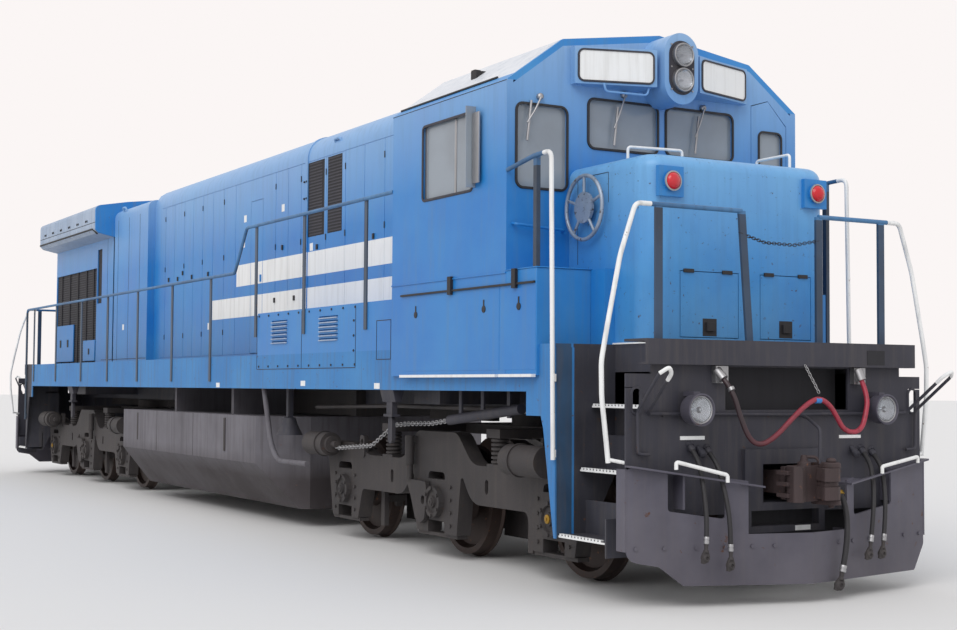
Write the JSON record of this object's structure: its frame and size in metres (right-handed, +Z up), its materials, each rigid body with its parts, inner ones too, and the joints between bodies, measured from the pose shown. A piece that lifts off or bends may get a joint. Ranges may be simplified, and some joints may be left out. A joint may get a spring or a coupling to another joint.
{
  "type": "diesel locomotive",
  "caption": "Road-switcher diesel locomotive with low nose, offset front cab door, flared radiator wings, walkway handrails, snow plows and swiveling cast trucks.",
  "frame": {"origin": "middle of the locomotive between the trucks, on the plane that the wheel flanges touch, 25.4 mm under the rail head", "axes": "+X forward to the low nose, +Y to the left-hand side, +Z up"},
  "size_m": [20.5, 3.31, 4.7253],
  "materials": {
    "body_blue": "semi-gloss enamel, weathered",
    "body_dark": "flat enamel with road dirt",
    "wing_grey": "faded enamel",
    "truck_iron": "oily casting with road dirt",
    "wheel_steel": "worn tread, rusty disc",
    "plow_steel": "scratched black paint",
    "coupler_iron": "bare rusty casting",
    "screen_dark": "sooty mesh",
    "hose_rubber": "matte",
    "fitting_steel": "dull",
    "cab_glass": "dusty",
    "seat_plastic": "matte",
    "lamp_housing": "semi-gloss"
  },
  "bodies": {
    "carbody": {"underframe": "body_dark", "step_wells": "body_dark", "end_plates": "body_dark", "snow_plows": "plow_steel", "couplers": "coupler_iron", "uncoupling_levers": "body_dark", "side_handrails": "body_blue", "end_handrails": "body_blue", "cab_side_right": "body_blue", "cab_side_left": "body_blue", "cab_front_wall": "body_blue", "cab_rear_wall": "body_blue", "cab_roof": "body_blue", "cab_floor": "body_dark", "cab_fittings": "seat_plastic", "cab_glass": "cab_glass", "nose": "body_blue", "hood_equipment": "body_blue", "hood_engine": "body_blue", "hood_radiator": "body_blue", "radiator_wings": "wing_grey", "air_screens": "screen_dark", "exhaust_stack": "screen_dark", "side_cabinets": "body_blue", "fuel_tank": "body_dark", "under_deck_fittings": "body_dark", "engine_block": "truck_iron", "headlights": "lamp_housing", "number_boards": "lamp_housing", "marker_lamps": "lamp_housing", "ditch_lights": "lamp_housing", "brake_wheel": "body_dark", "hose_couplings": "fitting_steel", "jumper_plugs": "fitting_steel", "jumper_cable": "hose_rubber", "brake_hose": "hose_rubber", "mu_hose_1": "hose_rubber", "mu_hose_2": "hose_rubber", "mu_hose_3": "hose_rubber", "mu_hose_4": "hose_rubber"},
    "truck_front": {"truck_frame_front": "truck_iron", "brake_rigging_front": "truck_iron", "traction_motors_front": "truck_iron"},
    "truck_rear": {"truck_frame_rear": "truck_iron", "brake_rigging_rear": "truck_iron", "traction_motors_rear": "truck_iron"},
    "front_cab_door": {"cab_door_front": "body_blue"},
    "rear_cab_door": {"cab_door_rear": "body_blue"},
    "right_nose_hatch": {"nose_hatch_right": "body_blue"},
    "left_nose_hatch": {"nose_hatch_left": "body_blue"},
    "right_hood_door": {"hood_door_right": "body_blue"},
    "left_hood_door": {"hood_door_left": "body_blue"},
    "wheelset_1_body": {"wheelset_1": "wheel_steel"},
    "wheelset_2_body": {"wheelset_2": "wheel_steel"},
    "wheelset_3_body": {"wheelset_3": "wheel_steel"},
    "wheelset_4_body": {"wheelset_4": "wheel_steel"},
    "wheelset_5_body": {"wheelset_5": "wheel_steel"},
    "wheelset_6_body": {"wheelset_6": "wheel_steel"}
  },
  "joints": [
    {"name": "truck_front_swivel", "type": "hinge", "parent": "carbody", "child": "truck_front", "pos_m": [6.19, 0, 1.3], "axis": [0, 0, 1], "range_deg": [-8, 8]},
    {"name": "truck_rear_swivel", "type": "hinge", "parent": "carbody", "child": "truck_rear", "pos_m": [-6.19, 0, 1.3], "axis": [0, 0, 1], "range_deg": [-8, 8]},
    {"name": "front_cab_door_hinge", "type": "hinge", "parent": "carbody", "child": "front_cab_door", "pos_m": [8.17, 1.03, 3.3], "axis": [0, 0, -1], "range_deg": [0, 85]},
    {"name": "rear_cab_door_hinge", "type": "hinge", "parent": "carbody", "child": "rear_cab_door", "pos_m": [6.05, -0.97, 3.3], "axis": [0, 0, -1], "range_deg": [0, 85]},
    {"name": "right_nose_hatch_hinge", "type": "hinge", "parent": "carbody", "child": "right_nose_hatch", "pos_m": [9.3, -0.338, 2.5504], "axis": [0, -1, 0], "range_deg": [0, 35]},
    {"name": "left_nose_hatch_hinge", "type": "hinge", "parent": "carbody", "child": "left_nose_hatch", "pos_m": [9.3, 0.451, 2.5504], "axis": [0, -1, 0], "range_deg": [0, 35]},
    {"name": "right_hood_door_hinge", "type": "hinge", "parent": "carbody", "child": "right_hood_door", "pos_m": [0.66, -0.92, 3], "axis": [0, 0, -1], "range_deg": [0, 110]},
    {"name": "left_hood_door_hinge", "type": "hinge", "parent": "carbody", "child": "left_hood_door", "pos_m": [0.66, 0.92, 3], "axis": [0, 0, 1], "range_deg": [0, 110]},
    {"name": "wheelset_1_spin", "type": "hinge", "parent": "truck_front", "child": "wheelset_1_body", "pos_m": [8.26, 0, 0.5334], "axis": [0, 1, 0], "continuous": true},
    {"name": "wheelset_2_spin", "type": "hinge", "parent": "truck_front", "child": "wheelset_2_body", "pos_m": [6.19, 0, 0.5334], "axis": [0, 1, 0], "continuous": true},
    {"name": "wheelset_3_spin", "type": "hinge", "parent": "truck_front", "child": "wheelset_3_body", "pos_m": [4.12, 0, 0.5334], "axis": [0, 1, 0], "continuous": true},
    {"name": "wheelset_4_spin", "type": "hinge", "parent": "truck_rear", "child": "wheelset_4_body", "pos_m": [-4.12, 0, 0.5334], "axis": [0, 1, 0], "continuous": true},
    {"name": "wheelset_5_spin", "type": "hinge", "parent": "truck_rear", "child": "wheelset_5_body", "pos_m": [-6.19, 0, 0.5334], "axis": [0, 1, 0], "continuous": true},
    {"name": "wheelset_6_spin", "type": "hinge", "parent": "truck_rear", "child": "wheelset_6_body", "pos_m": [-8.26, 0, 0.5334], "axis": [0, 1, 0], "continuous": true}
  ]
}
